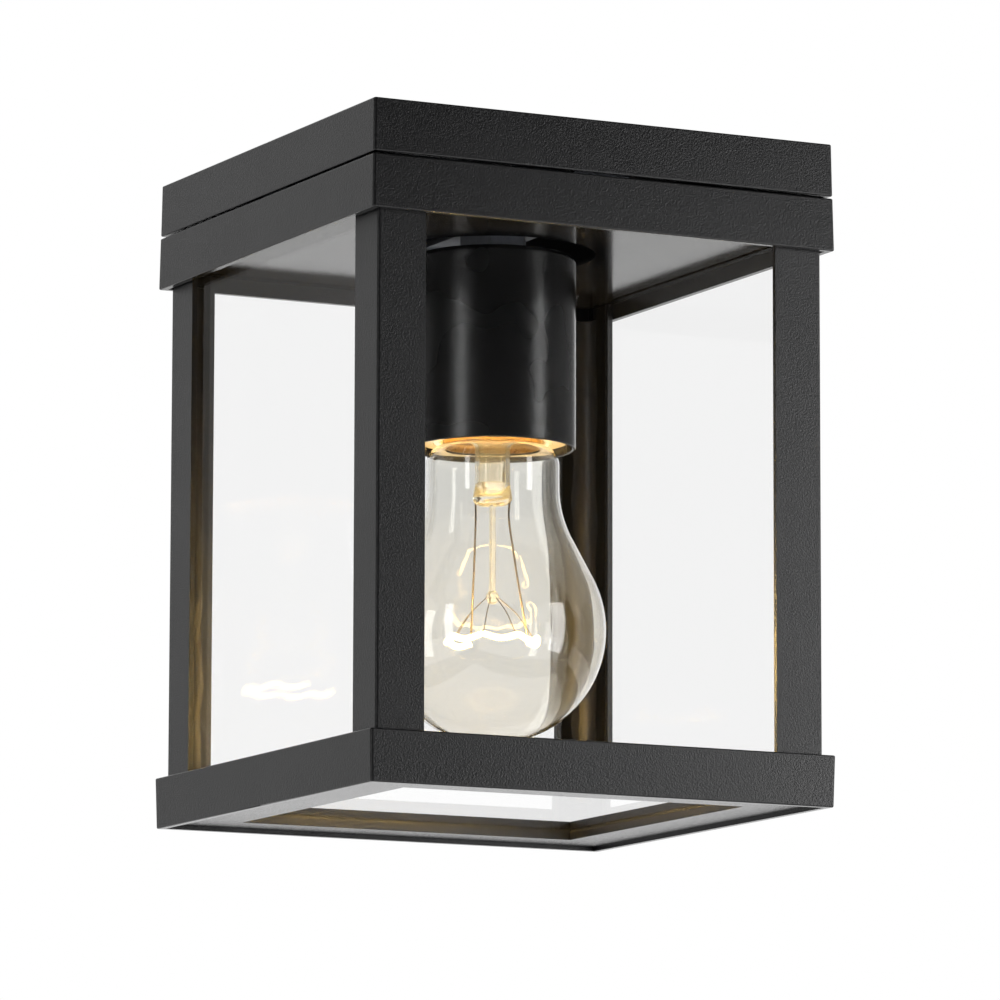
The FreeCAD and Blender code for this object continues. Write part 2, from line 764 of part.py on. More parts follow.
def corner_beads():
    """Fillets of sealant up the inside corners of the glazing, hollow towards the room."""
    far, near = pane_inner_half, pane_inner_half - corner_bead_leg
    low = frame_top_z + corner_bead_end_gap
    high = head_bottom_z
    middle = near + corner_bead_leg * 0.62
    curve = Part.Arc(V(near, far, low), V(middle, middle, low), V(far, near, low)).toShape()
    legs = [Part.makeLine(V(far, near, low), V(far, far, low)), Part.makeLine(V(far, far, low), V(near, far, low))]
    bead = Part.Face(Part.Wire([curve] + legs)).extrude(V(0, 0, high - low))
    return Part.makeCompound([quarter_turn(bead, i) for i in range(SIDES)])


def bottom_frame():
    """Mitred angle frame: wall outside, wide flange inside for posts, panes and bottom glass."""
    wall = soften(frustum(frame_top_half, frame_top_z, frame_bottom_half, frame_bottom_z),
                  [frame_top_z, frame_bottom_z])
    above = frustum(frame_top_half - band_wall, frame_top_z, frame_bottom_half - band_wall, flange_top_z)
    below = frustum(frame_bottom_half - band_wall, flange_z, frame_bottom_half - band_wall, frame_bottom_z)
    opening = box(-opening_half, opening_half, -opening_half, opening_half, flange_z, flange_top_z)
    return wall.cut(above.multiFuse([below, opening]))


def bottom_gasket():
    """Soft strip round the opening that the bottom glass lies on."""
    inner = opening_half + gasket_setback
    outer = inner + gasket_width
    ring = box(-outer, outer, -outer, outer, flange_top_z, bottom_glass_z)
    return ring.cut(box(-inner, inner, -inner, inner, flange_top_z, bottom_glass_z))


def bottom_glass():
    """Loose pane that is lifted out to reach the lamp."""
    half = bottom_glass_half
    return box(-half, half, -half, half, bottom_glass_z, bottom_glass_z + glass_thickness)


NODES = {
    "canopy": canopy,
    "cable_grommet": cable_grommet,
    "holder_strap": holder_strap,
    "strap_screws": strap_screws,
    "earth_screw": earth_screw,
    "clamp_ears": clamp_ears,
    "terminal_block": terminal_block,
    "terminal_screws": terminal_screws,
    "holder_nipple": holder_nipple,
    "nipple_nuts": nipple_nuts,
    "cup_washer": cup_washer,
    "holder_cup": holder_cup,
    "lampholder_body": lampholder_body,
    "lampholder_shell": lampholder_shell,
    "lampholder_tongue": lampholder_tongue,
    "bulb_contact": bulb_contact,
    "bulb_insulator": bulb_insulator,
    "bulb_cap": bulb_cap,
    "bulb_glass": bulb_glass,
    "bulb_stem": bulb_stem,
    "bulb_leads": bulb_leads,
    "bulb_filament": bulb_filament,
    "filament_hooks": filament_hooks,
    "head_frame": head_frame,
    "clamp_screws": clamp_screws,
    "ceiling_plate": ceiling_plate,
    "pane_sealant": pane_sealant,
    "corner_beads": corner_beads,
    "bottom_frame": bottom_frame,
    "bottom_gasket": bottom_gasket,
    "bottom_glass": bottom_glass,
}
POSTS = ("front_left", "front_right", "back_right", "back_left")
PANES = ("front", "right", "back", "left")


def main():
    os.makedirs("parts", exist_ok=True)
    shapes = {name: make() for name, make in NODES.items()}
    for quarter, corner in enumerate(POSTS):
        shapes["post_" + corner] = quarter_turn(corner_post(), quarter)
    for quarter, side in enumerate(PANES):
        sheet = long_pane() if quarter % 2 == 0 else short_pane()
        shapes["pane_" + side] = quarter_turn(sheet, quarter)
    for name, shape in sorted(shapes.items()):
        shape.exportStep("parts/" + name + ".step")
        print(name, len(shape.Solids), "solids", round(shape.Volume, 1), "mm3", shape.isValid())


main()
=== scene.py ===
import logging
import math
from dataclasses import dataclass
from enum import Enum

import bpy
import numpy as np
from mathutils import Matrix, Vector


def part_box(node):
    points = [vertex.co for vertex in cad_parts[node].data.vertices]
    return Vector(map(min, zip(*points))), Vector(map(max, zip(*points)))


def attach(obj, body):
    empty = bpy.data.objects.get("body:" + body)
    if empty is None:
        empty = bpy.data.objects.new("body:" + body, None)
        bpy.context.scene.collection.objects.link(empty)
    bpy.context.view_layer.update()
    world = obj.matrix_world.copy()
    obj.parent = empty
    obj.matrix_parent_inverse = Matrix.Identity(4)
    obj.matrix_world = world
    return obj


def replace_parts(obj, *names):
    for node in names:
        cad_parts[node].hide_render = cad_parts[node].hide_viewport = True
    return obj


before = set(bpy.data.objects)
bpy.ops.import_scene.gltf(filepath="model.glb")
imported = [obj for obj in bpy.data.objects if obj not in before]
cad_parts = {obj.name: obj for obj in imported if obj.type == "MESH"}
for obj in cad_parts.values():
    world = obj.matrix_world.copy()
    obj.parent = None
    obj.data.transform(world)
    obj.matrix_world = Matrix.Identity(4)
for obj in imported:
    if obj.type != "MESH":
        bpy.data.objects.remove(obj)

log = logging.getLogger("porch_lantern")
MM = 0.001
TURN = 2 * math.pi


# ---- numbers, colours and nodes -------------------------------------------------------------------

def linear(code: str) -> tuple[float, float, float, float]:
    """Turns an sRGB hex colour into Blender's linear colour.

    Args:
        code: Six hex digits, such as "1a1b1c".

    Returns:
        Red, green, blue and a full alpha.
    """
    srgb = np.array([int(code[i : i + 2], 16) for i in (0, 2, 4)]) / 255
    flat = np.where(srgb <= 0.04045, srgb / 12.92, ((srgb + 0.055) / 1.055) ** 2.4)
    return (*flat.tolist(), 1.0)


def per_metre(size: float) -> float:
    """Scale of a noise whose grains are about size metres across."""
    return 1.0 / size


def add(tree: bpy.types.NodeTree, kind: str, inputs: dict | None = None,
        **settings: object) -> bpy.types.Node:
    """Adds one node with its settings, values and links.

    Args:
        tree: The material's or world's node tree.
        kind: The node's type name.
        inputs: Socket name or number to a value, or to the output socket that feeds it.
        settings: Attributes of the node, such as operation or blend_type.

    Returns:
        The new node.
    """
    node = tree.nodes.new(kind)
    for name, value in settings.items():
        setattr(node, name, value)
    for name, value in (inputs or {}).items():
        if isinstance(value, bpy.types.NodeSocket):
            tree.links.new(value, node.inputs[name])
        else:
            node.inputs[name].default_value = value
    return node


def combine(tree: bpy.types.NodeTree, operation: str, first: object, second: object) -> bpy.types.NodeSocket:
    """Result of a Math node on two numbers or sockets."""
    return add(tree, "ShaderNodeMath", {0: first, 1: second}, operation=operation).outputs[0]


def blank(name: str) -> tuple[bpy.types.Material, bpy.types.NodeTree]:
    """A new material with an empty tree."""
    material = bpy.data.materials.new(name)
    material.use_nodes = True
    material.node_tree.nodes.clear()
    return material, material.node_tree


def show(tree: bpy.types.NodeTree, shader: bpy.types.NodeSocket) -> None:
    """Joins a shader to the material's output."""
    add(tree, "ShaderNodeOutputMaterial", {"Surface": shader})


def place(tree: bpy.types.NodeTree, stretch: tuple[float, float, float] = (1, 1, 1)) -> bpy.types.NodeSocket:
    """Object coordinates in metres, optionally stretched along an axis."""
    where = add(tree, "ShaderNodeTexCoord").outputs["Object"]
    return add(tree, "ShaderNodeMapping", {"Vector": where, "Scale": stretch}).outputs["Vector"]


def lamps_pass(tree: bpy.types.NodeTree, glass: bpy.types.NodeSocket, share: str) -> bpy.types.NodeSocket:
    """Glass that lets lamps through: rays towards a lamp meet a clear film with the share's colour."""
    shadow = add(tree, "ShaderNodeLightPath").outputs["Is Shadow Ray"]
    film = add(tree, "ShaderNodeBsdfTransparent", {"Color": linear(share)}).outputs[0]
    return add(tree, "ShaderNodeMixShader", {"Fac": shadow, 1: glass, 2: film}).outputs[0]


# ---- finishes -------------------------------------------------------------------------------------

class Finish:
    """A surface finish; each one is built once and then shared."""

    name: str

    def build(self) -> bpy.types.Material:
        """Makes the material."""
        raise NotImplementedError

    def material(self) -> bpy.types.Material:
        """The finish's material, made at its first use."""
        return bpy.data.materials.get(self.name) or self.build()


class Mitre(Enum):
    """Which welded joint a coated band shows."""

    NONE = 0
    CORNERS = 1


@dataclass(frozen=True)
class PowderCoat(Finish):
    """Fine-texture powder coat on steel: near black, and its baked grain gives a dry, sparkling gloss."""

    name: str = "powder_coat_fine_texture"
    colour: str = "0c0c0d"
    crest: str = "18181a"
    grain: float = 0.48 * MM
    fine_grain: float = 0.22 * MM
    fine_share: float = 0.45
    cloud: float = 28 * MM
    relief: float = 0.1 * MM
    roughness: float = 0.32
    gloss: float = 0.45
    slant: tuple[float, float] = (0.62, 0.88)
    slant_calm: float = 0.42
    mitre: Mitre = Mitre.NONE
    seam_width: float = 0.4 * MM

    def build(self) -> bpy.types.Material:
        """Two grains drive bump and tone; at a slant they calm down, as a rough coat turns glossy there."""
        material, tree = blank(self.name)
        where = place(tree)
        coarse = add(tree, "ShaderNodeTexNoise", {
            "Vector": where, "Scale": per_metre(self.grain), "Detail": 2.0, "Roughness": 0.6}).outputs["Fac"]
        fine = add(tree, "ShaderNodeTexNoise", {
            "Vector": where, "Scale": per_metre(self.fine_grain), "Detail": 1.0}).outputs["Fac"]
        cloud = add(tree, "ShaderNodeTexNoise", {
            "Vector": where, "Scale": per_metre(self.cloud)}).outputs["Fac"]
        height = add(tree, "ShaderNodeMath", {0: fine, 1: self.fine_share, 2: coarse},
                     operation="MULTIPLY_ADD").outputs[0]
        tone = add(tree, "ShaderNodeMapRange", {
            "Value": height, "From Min": 0.6, "From Max": 0.95}).outputs[0]
        colour = add(tree, "ShaderNodeMix", {
            "Factor": tone, "A": linear(self.colour), "B": linear(self.crest)}, data_type="RGBA")
        scuff = add(tree, "ShaderNodeMapRange", {
            "Value": cloud, "From Min": 0.3, "From Max": 0.7,
            "To Min": self.roughness - 0.01, "To Max": self.roughness + 0.012}).outputs[0]
        slant = add(tree, "ShaderNodeLayerWeight", {"Blend": 0.5}).outputs["Facing"]
        calm = add(tree, "ShaderNodeMapRange", {
            "Value": slant, "From Min": self.slant[0], "From Max": self.slant[1],
            "To Min": 1.0, "To Max": self.slant_calm}).outputs[0]
        gloss = combine(tree, "MULTIPLY", scuff, calm)
        shade = colour.outputs["Result"]
        if self.mitre is Mitre.CORNERS:
            shade = self.seam(tree, shade)
        bump = add(tree, "ShaderNodeBump", {"Height": height, "Distance": self.relief, "Strength": calm})
        coat = add(tree, "ShaderNodeBsdfPrincipled", {
            "Base Color": shade, "Roughness": gloss, "Normal": bump.outputs[0],
            "Specular IOR Level": self.gloss})
        show(tree, coat.outputs[0])
        return material

    def seam(self, tree: bpy.types.NodeTree, shade: bpy.types.NodeSocket) -> bpy.types.NodeSocket:
        """Darkens the line where |x| equals |y|, the joint of two mitred bars."""
        split = add(tree, "ShaderNodeSeparateXYZ", {0: add(tree, "ShaderNodeTexCoord").outputs["Object"]})
        sides = [add(tree, "ShaderNodeMath", {0: split.outputs[axis]}, operation="ABSOLUTE").outputs[0]
                 for axis in "XY"]
        gap = combine(tree, "SUBTRACT", *sides)
        away = add(tree, "ShaderNodeMath", {0: gap}, operation="ABSOLUTE").outputs[0]
        line = add(tree, "ShaderNodeMapRange", {"Value": away, "From Min": self.seam_width / 2,
                                                "From Max": self.seam_width, "To Min": 0.85, "To Max": 0.0})
        joint = add(tree, "ShaderNodeMix", {"Factor": line.outputs[0], "A": shade, "B": linear("050505")},
                    data_type="RGBA")
        return joint.outputs["Result"]


@dataclass(frozen=True)
class PlatedMetal(Finish):
    """Bare or plated metal: bright, with the faint cloudiness of a dip or the tarnish of plain brass."""

    name: str
    colour: str
    tarnish: str
    roughness: float
    cloud: float = 4 * MM
    scuff: float = 0.5 * MM

    def build(self) -> bpy.types.Material:
        """A slow noise moves colour towards tarnish, and a fast one scuffs the gloss."""
        material, tree = blank(self.name)
        where = place(tree)
        cloud = add(tree, "ShaderNodeTexNoise", {
            "Vector": where, "Scale": per_metre(self.cloud), "Detail": 3.0}).outputs["Fac"]
        scuff = add(tree, "ShaderNodeTexNoise", {
            "Vector": where, "Scale": per_metre(self.scuff), "Detail": 2.0}).outputs["Fac"]
        colour = add(tree, "ShaderNodeMix", {
            "Factor": cloud, "A": linear(self.colour), "B": linear(self.tarnish)}, data_type="RGBA")
        gloss = add(tree, "ShaderNodeMapRange", {
            "Value": scuff, "To Min": self.roughness - 0.08, "To Max": self.roughness + 0.12})
        metal = add(tree, "ShaderNodeBsdfPrincipled", {
            "Base Color": colour.outputs["Result"], "Metallic": 1.0, "Roughness": gloss.outputs[0]})
        show(tree, metal.outputs[0])
        return material


@dataclass(frozen=True)
class Moulded(Finish):
    """Moulded rubber or plastic, poured sealant or glaze: one colour with its own grain and gloss."""

    name: str
    colour: str
    shade: str
    roughness: float
    grain: float
    relief: float = 0.0
    ior: float = 1.5
    coat: float = 0.0

    def build(self) -> bpy.types.Material:
        """One noise, as coarse as the grain, drives tone, gloss and relief."""
        material, tree = blank(self.name)
        grain = add(tree, "ShaderNodeTexNoise", {"Vector": place(tree), "Scale": per_metre(self.grain),
                                                 "Detail": 3.0}).outputs["Fac"]
        colour = add(tree, "ShaderNodeMix", {
            "Factor": grain, "A": linear(self.colour), "B": linear(self.shade)}, data_type="RGBA")
        gloss = add(tree, "ShaderNodeMapRange", {"Value": grain, "To Min": self.roughness - 0.05,
                                                 "To Max": self.roughness + 0.07})
        bump = add(tree, "ShaderNodeBump", {"Height": grain, "Distance": self.relief, "Strength": 1.0})
        skin = add(tree, "ShaderNodeBsdfPrincipled", {"Base Color": colour.outputs["Result"], "IOR": self.ior,
                                                      "Roughness": gloss.outputs[0], "Coat Weight": self.coat,
                                                      "Coat Roughness": 0.08, "Normal": bump.outputs[0]})
        show(tree, skin.outputs[0])
        return material


@dataclass(frozen=True)
class ClearGlass(Finish):
    """Soda-lime glass, float or blown: clear, smooth, and it lets the lamps through."""

    name: str
    tint: str = "f6faf8"
    film: str = "f0f4f2"
    ior: float = 1.5
    clarity: float = 1.0
    ripple: float = 0.0
    ripple_width: float = 5 * MM
    ripple_stretch: float = 0.12

    def build(self) -> bpy.types.Material:
        """Refracting glass; a blown one is drawn out lengthwise, so its ripple is long and narrow."""
        material, tree = blank(self.name)
        glass = add(tree, "ShaderNodeBsdfPrincipled", {"Base Color": linear(self.tint), "Roughness": 0.0,
                                                       "IOR": self.ior, "Transmission Weight": self.clarity})
        if self.ripple:
            wave = add(tree, "ShaderNodeTexNoise", {"Vector": place(tree, (1, 1, self.ripple_stretch)),
                                                    "Scale": per_metre(self.ripple_width), "Detail": 1.0})
            bump = add(tree, "ShaderNodeBump", {"Height": wave.outputs["Fac"], "Distance": self.ripple,
                                                "Strength": 1.0})
            tree.links.new(bump.outputs[0], glass.inputs["Normal"])
        show(tree, lamps_pass(tree, glass.outputs[0], self.film))
        return material


@dataclass(frozen=True)
class PaneGlass(Finish):
    """Float glass cut to a flat pane: it shifts what is behind it a little, and mirrors more at a slant."""

    name: str
    tint: str = "fefefe"
    film: str = "f6f7f6"
    ior: float = 1.5
    straight_gloss: float = 0.042
    falloff: float = 5.0

    def build(self) -> bpy.types.Material:
        """Share mirrored = straight gloss + the rest times (1 - |cos|) to the falloff."""
        material, tree = blank(self.name)
        slant = add(tree, "ShaderNodeLayerWeight", {"Blend": 0.5}).outputs["Facing"]
        rise = combine(tree, "POWER", slant, self.falloff)
        mirrored = add(tree, "ShaderNodeMapRange", {"Value": rise, "To Min": self.straight_gloss}).outputs[0]
        through = add(tree, "ShaderNodeBsdfRefraction", {"Color": linear(self.tint), "Roughness": 0.0,
                                                         "IOR": self.ior})
        mirror = add(tree, "ShaderNodeBsdfAnisotropic", {"Color": linear("ffffff"), "Roughness": 0.0})
        pane = add(tree, "ShaderNodeMixShader", {
            "Fac": mirrored, 1: through.outputs[0], 2: mirror.outputs[0]})
        show(tree, lamps_pass(tree, pane.outputs[0], self.film))
        return material


@dataclass(frozen=True)
class LitTungsten(Finish):
    """Tungsten wire at white heat: it glows yellow-white and lights the holder golden."""

    name: str = "lit_tungsten"
    glow: str = "ffd684"
    strength: float = 950.0

    def build(self) -> bpy.types.Material:
        """Dark metal that emits."""
        material, tree = blank(self.name)
        wire = add(tree, "ShaderNodeBsdfPrincipled", {"Base Color": linear("6b6660"), "Metallic": 1.0,
                                                      "Roughness": 0.4, "Emission Color": linear(self.glow),
                                                      "Emission Strength": self.strength})
        show(tree, wire.outputs[0])
        return material


COAT = PowderCoat()
FRAME_COAT = PowderCoat(name="powder_coat_mitred", mitre=Mitre.CORNERS)
PLATE_COAT = PowderCoat(name="powder_coat_sheet", relief=0.014 * MM, roughness=0.2, gloss=0.42)
# A darker copy of the black coat for the cup: its lower colour and crest are painted shade for the cup that
# sits inside the glazed cage.
SHADED_CUP_COAT = PowderCoat("powder_coat_cup_painted_shade", "060607", "0d0d0e", relief=0.018 * MM, roughness=0.27,
                      grain=0.5 * MM)
ZINC = PlatedMetal("dull_zinc_plate", "8d9096", "6c6f75", 0.42)
BRASS = PlatedMetal("plain_brass", "d9b878", "a87f42", 0.28)
NICKEL = PlatedMetal("nickel_wire", "9c9489", "6e675e", 0.3, 1 * MM)
SOLDER = PlatedMetal("soft_solder", "b9b8b3", "8d8c88", 0.45, 1 * MM)
SCREW_BLACK = PlatedMetal("blackened_steel", "2a2a2b", "1a1a1b", 0.42)
PORCELAIN = Moulded("glazed_porcelain", "f3ecdf", "ece2d0", 0.14, 6 * MM, 0.01 * MM, coat=0.5)
SEALANT = Moulded("black_silicone_sealant", "08080a", "101012", 0.42, 1.6 * MM, 0.06 * MM, ior=1.36)
RUBBER = Moulded("black_epdm_rubber", "141414", "202020", 0.6, 0.4 * MM, 0.01 * MM)
NYLON = Moulded("off_white_polyamide", "e3dfd3", "d3cdbd", 0.42, 0.6 * MM, 0.006 * MM)
VITRITE = Moulded("black_vitrite_glass", "0b0b10", "15151c", 0.12, 1 * MM)
FLOAT_GLASS = PaneGlass("clear_float_glass", straight_gloss=0.024, falloff=7.0)
LOOSE_GLASS = PaneGlass("clear_float_glass_loose", falloff=2.6)
BLOWN_GLASS = ClearGlass("clear_blown_glass", "f4f4f1", "f7f5f2", clarity=0.9965, ripple=0.02 * MM)
STEM_GLASS = ClearGlass("clear_lead_glass", "f6f7f4", "f4f2ee", ior=1.56, clarity=0.93, ripple=0.12 * MM,
                        ripple_width=2.5 * MM, ripple_stretch=0.5)
FILAMENT = LitTungsten()


# ---- surfaces -------------------------------------------------------------------------------------

@dataclass
class Skin:
    """Points and faces of one closed surface."""

    points: np.ndarray
    faces: list[list[int]]


def grid_skin(grid: np.ndarray, loop: bool = False) -> Skin:
    """Closes a grid of points, whose columns run round, into a skin.

    A quad joins each point to the next in its row and in the next row. Rows either run on into
    each other, as on a torus, or the first and the last are closed by a fan from their mean.
    The signed volume, a sixth of the sum of a . (b x c) over the triangles, turns the faces
    outwards when it is negative.

    Args:
        grid: Array of rows by columns by 3.
        loop: True if the last row joins the first.

    Returns:
        The closed skin.
    """
    rows, columns = grid.shape[:2]
    index = np.arange(rows * columns).reshape(rows, columns)
    across = np.roll(index, -1, axis=1)
    last = rows if loop else rows - 1
    below, below_across = np.roll(index, -1, axis=0), np.roll(across, -1, axis=0)
    quads = np.stack([index, across, below_across, below], axis=-1)[:last].reshape(-1, 4)
    points, fans = grid.reshape(-1, 3), np.empty((0, 3), int)
    if not loop:
        top, bottom = len(points), len(points) + 1
        points = np.vstack([points, grid[0].mean(axis=0), grid[-1].mean(axis=0)])
        first = np.stack([np.full(columns, top), across[0], index[0]], axis=-1)
        end = np.stack([np.full(columns, bottom), index[-1], across[-1]], axis=-1)
        fans = np.vstack([first, end])
    corners = points[np.vstack([quads[:, [0, 1, 2]], quads[:, [0, 2, 3]], fans])]
    volume = np.einsum("ij,ij->", corners[:, 0], np.cross(corners[:, 1], corners[:, 2]))
    step = -1 if volume < 0 else 1
    return Skin(points, quads[:, ::step].tolist() + fans[:, ::step].tolist())


def piece(name: str, skins: list[Skin], finish: Finish, body: str, crease: float = 38.0) -> bpy.types.Object:
    """Makes one object from skins, dresses it and lets it ride on its body.

    Args:
        name: The object's name.
        skins: The closed skins it is made of.
        finish: Its finish.
        body: The body of the frame that it moves with.
        crease: Edges sharper than this many degrees stay sharp.

    Returns:
        The new object.
    """
    starts = np.cumsum([0] + [len(skin.points) for skin in skins[:-1]])
    faces = [[i + start for i in face] for skin, start in zip(skins, starts.tolist()) for face in skin.faces]
    mesh = bpy.data.meshes.new(name)
    mesh.from_pydata(np.vstack([skin.points for skin in skins]).tolist(), [], faces)
    mesh.polygons.foreach_set("use_smooth", np.ones(len(mesh.polygons), bool))
    mesh.set_sharp_from_angle(angle=math.radians(crease))
    mesh.materials.append(finish.material())
    obj = bpy.data.objects.new(name, mesh)
    bpy.context.scene.collection.objects.link(obj)
    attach(obj, body)
    log.info("%s: %d faces, rides on %s", name, len(mesh.polygons), body)
    return obj


def spun(profile: np.ndarray, sides: int = 96, loop: bool = True) -> Skin:
    """Carries a profile round the Z axis: x = r cos t, y = r sin t, z = z.

    Args:
        profile: Array of (radius, level) rows.
        sides: Steps round the axis.
        loop: True for a closed outline, False for one that ends on the axis.

    Returns:
        The surface of revolution.
    """
    turn = np.arange(sides) * TURN / sides
    radius, level = profile[:, :1], profile[:, 1:]
    height = np.broadcast_to(level, (len(profile), sides))
    grid = np.stack([radius * np.cos(turn), radius * np.sin(turn), height], -1)
    return grid_skin(grid, loop)


def threaded(low: float, high: float, crest: float, depth: float, pitch: float, bore: float,
             outside: bool = True, sides: int = 72) -> Skin:
    """A tube with a rounded right-hand thread on its outer or its inner wall.

    The thread's radius is the mean plus half the depth times cos(2 pi z / pitch - t), and it
    fades out over the last half pitch at each end. The other wall follows at a constant radius.

    Args:
        low: Lowest level.
        high: Highest level.
        crest: Largest radius of the threaded wall.
        depth: Crest to root.
        pitch: Rise of one turn.
        bore: Radius of the plain wall.
        outside: Not used.
        sides: Steps round the axis.

    Returns:
        The closed tube.
    """
    level = np.linspace(low, high, max(8, int((high - low) / pitch * 14)))[:, None]
    turn = (np.arange(sides) * TURN / sides)[None, :]
    fade = np.clip(np.minimum(level - low, high - level) / (0.5 * pitch), 0, 1)
    wave = crest - depth / 2 + fade * depth / 2 * np.cos(TURN * level / pitch - turn)
    plain = np.full_like(wave, bore)
    walls = []
    for radius, height in ((wave, level), (plain[::-1], level[::-1])):
        walls.append(np.stack([radius * np.cos(turn), radius * np.sin(turn),
                               np.broadcast_to(height, radius.shape)], -1))
    return grid_skin(np.concatenate(walls), loop=True)


def unit(vectors: np.ndarray) -> np.ndarray:
    """Vectors scaled to length 1."""
    return vectors / np.linalg.norm(vectors, axis=-1, keepdims=True)


def wire(path: np.ndarray, radius: float, side: np.ndarray, sides: int = 8) -> Skin:
    """A round wire: at each point of the path, a circle across the path's direction.

    Args:
        path: Centre points, one row each.
        radius: Radius of the wire.
        side: One vector, or one for each point, that is never along the path.
        sides: Corners of the section.

    Returns:
        The closed wire.
    """
    along = unit(np.gradient(path, axis=0))
    across = unit(np.cross(along, np.broadcast_to(side, path.shape)))
    over = np.cross(along, across)
    turn = (np.arange(sides) * TURN / sides)[None, :, None]
    ring = across[:, None] * np.cos(turn) + over[:, None] * np.sin(turn)
    return grid_skin(path[:, None] + radius * ring)


def smooth_path(knots: np.ndarray, steps: int = 14) -> np.ndarray:
    """A smooth curve through knots: each span is a cubic, and its slopes follow the neighbouring knots."""
    slopes = np.gradient(knots, axis=0)
    t = np.linspace(0, 1, steps, endpoint=False)[None, :, None]
    a, b, u, v = (w[:, None] for w in (knots[:-1], knots[1:], slopes[:-1], slopes[1:]))
    spans = ((2 * t**3 - 3 * t**2 + 1) * a + (t**3 - 2 * t**2 + t) * u
             + (3 * t**2 - 2 * t**3) * b + (t**3 - t**2) * v)
    return np.vstack([spans.reshape(-1, 3), knots[-1:]])


def about_z(turn: float) -> np.ndarray:
    """Matrix that, set after rows of points, turns them about the Z axis: x c - y s, x s + y c, z."""
    c, s = math.cos(turn), math.sin(turn)
    return np.array([[c, s, 0], [-s, c, 0], [0, 0, 1]])


def sweep(start: float, end: float, steps: int) -> np.ndarray:
    """Angles in radians between two angles in degrees."""
    return np.radians(np.linspace(start, end, steps))


def dress(finish: Finish, *nodes: str) -> None:
    """Gives CAD nodes their finish."""
    for name in nodes:
        for place_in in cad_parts[name].material_slots:
            place_in.material = finish.material()
        log.info("%s: %s", name, finish.name)


# ---- sub-assemblies -------------------------------------------------------------------------------

@dataclass
class Canopy:
    """Pan on the ceiling with everything bolted inside it."""

    body: str = "canopy"
    nipple_pitch: float = 1.0 * MM
    nipple_depth: float = 0.55 * MM

    def build(self) -> None:
        """Dresses the pan and its fittings and threads the nipple."""
        dress(COAT, "canopy")
        dress(ZINC, "holder_strap", "strap_screws", "clamp_ears", "nipple_nuts", "cup_washer")
        dress(BRASS, "earth_screw", "terminal_screws")
        dress(RUBBER, "cable_grommet")
        dress(NYLON, "terminal_block")
        self.nipple()

    def nipple(self) -> None:
        """Hollow all-thread tube that hangs the holder from the strap."""
        low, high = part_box("holder_nipple")
        radius = high[0]
        tube = threaded(low[2], high[2], radius, self.nipple_depth, self.nipple_pitch, radius * 0.7, sides=40)
        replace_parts(piece("threaded_nipple", [tube], ZINC, self.body), "holder_nipple")


@dataclass
class LampHolder:
    """Drawn cup with the porcelain holder and its threaded shell."""

    body: str = "canopy"
    wall: float = 1.0 * MM
    shoulder: float = 1.4 * MM
    rim: float = 0.35 * MM
    nipple_hole: float = 5.05 * MM
    lip_radius: float = 1.1 * MM
    lip_height: float = 0.55 * MM
    neck: float = 8.0 * MM
    neck_length: float = 8.0 * MM
    cone_end: float = 13.0 * MM
    bevel: float = 1.0 * MM
    face_edge: float = 0.8 * MM
    tongue_hole: float = 3.5 * MM
    shell_sheet: float = 0.3 * MM
    thread_pitch: float = 3.629 * MM
    thread_depth: float = 0.95 * MM

    def build(self) -> None:
        """Makes cup, porcelain and shell, and dresses the tongue."""
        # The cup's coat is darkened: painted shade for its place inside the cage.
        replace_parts(piece("cup", [self.cup()], SHADED_CUP_COAT, self.body), "holder_cup")
        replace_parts(piece("porcelain", [self.porcelain()], PORCELAIN, self.body), "lampholder_body")
        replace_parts(piece("threaded_shell", [self.shell()], BRASS, self.body), "lampholder_shell")
        dress(BRASS, "lampholder_tongue")

    def cup(self) -> Skin:
        """Outer wall with a rounded shoulder, a rolled rim, and the inner wall one sheet further in."""
        low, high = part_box("holder_cup")
        radius, inner = high[0], high[0] - self.wall
        bend = sweep(90, 0, 12)
        shoulder = np.stack([radius - self.shoulder + self.shoulder * np.cos(bend),
                             high[2] - self.shoulder + self.shoulder * np.sin(bend)], -1)
        inset = self.shoulder - self.wall
        inside = np.stack([radius - self.shoulder + inset * np.cos(bend[::-1]),
                           high[2] - self.shoulder + inset * np.sin(bend[::-1])], -1)
        roll = sweep(0, -180, 12)
        middle = (radius + inner) / 2
        lip = np.stack([middle + self.wall / 2 * np.cos(roll),
                        low[2] + self.rim + self.rim * np.sin(roll)], -1)
        start = [[self.nipple_hole, high[2]]]
        end = [[self.nipple_hole, high[2] - self.wall]]
        return spun(np.vstack([start, shoulder, lip, inside, end]), 160)

    def porcelain(self) -> Skin:
        """Neck, shoulder, wall and a face with a raised lip round the mouth of the socket."""
        low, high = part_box("lampholder_body")
        mouth, shell_top = self.mouth(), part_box("lampholder_shell")[1][2]
        face, wall, top = low[2] + self.lip_height, high[0], high[2]
        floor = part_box("lampholder_tongue")[1][2]
        bead = sweep(0, -180, 14)
        centre = mouth + self.lip_radius
        lip = np.stack([centre + self.lip_radius * np.cos(bead), face + self.lip_height * np.sin(bead)], -1)
        outer = [[self.nipple_hole, top], [self.neck, top], [self.neck, top - self.neck_length],
                 [wall - self.bevel, top - self.cone_end], [wall, top - self.cone_end - self.bevel],
                 [wall, face + self.face_edge], [wall - self.face_edge, face]]
        inner = [[mouth, face + self.bevel], [mouth, shell_top], [mouth, floor],
                 [self.tongue_hole, floor], [self.tongue_hole, top - self.neck_length],
                 [self.nipple_hole, top - self.neck_length]]
        return spun(np.vstack([outer, lip, inner]), 128)

    def mouth(self) -> float:
        """Radius of the porcelain's bore, the outer radius of the shell."""
        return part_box("lampholder_shell")[1][0]

    def shell(self) -> Skin:
        """Rolled sheet with the thread on its inner wall."""
        low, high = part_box("lampholder_shell")
        outer = high[0]
        crest = outer - self.shell_sheet
        return threaded(low[2], high[2], crest, self.thread_depth, self.thread_pitch, outer, sides=96)


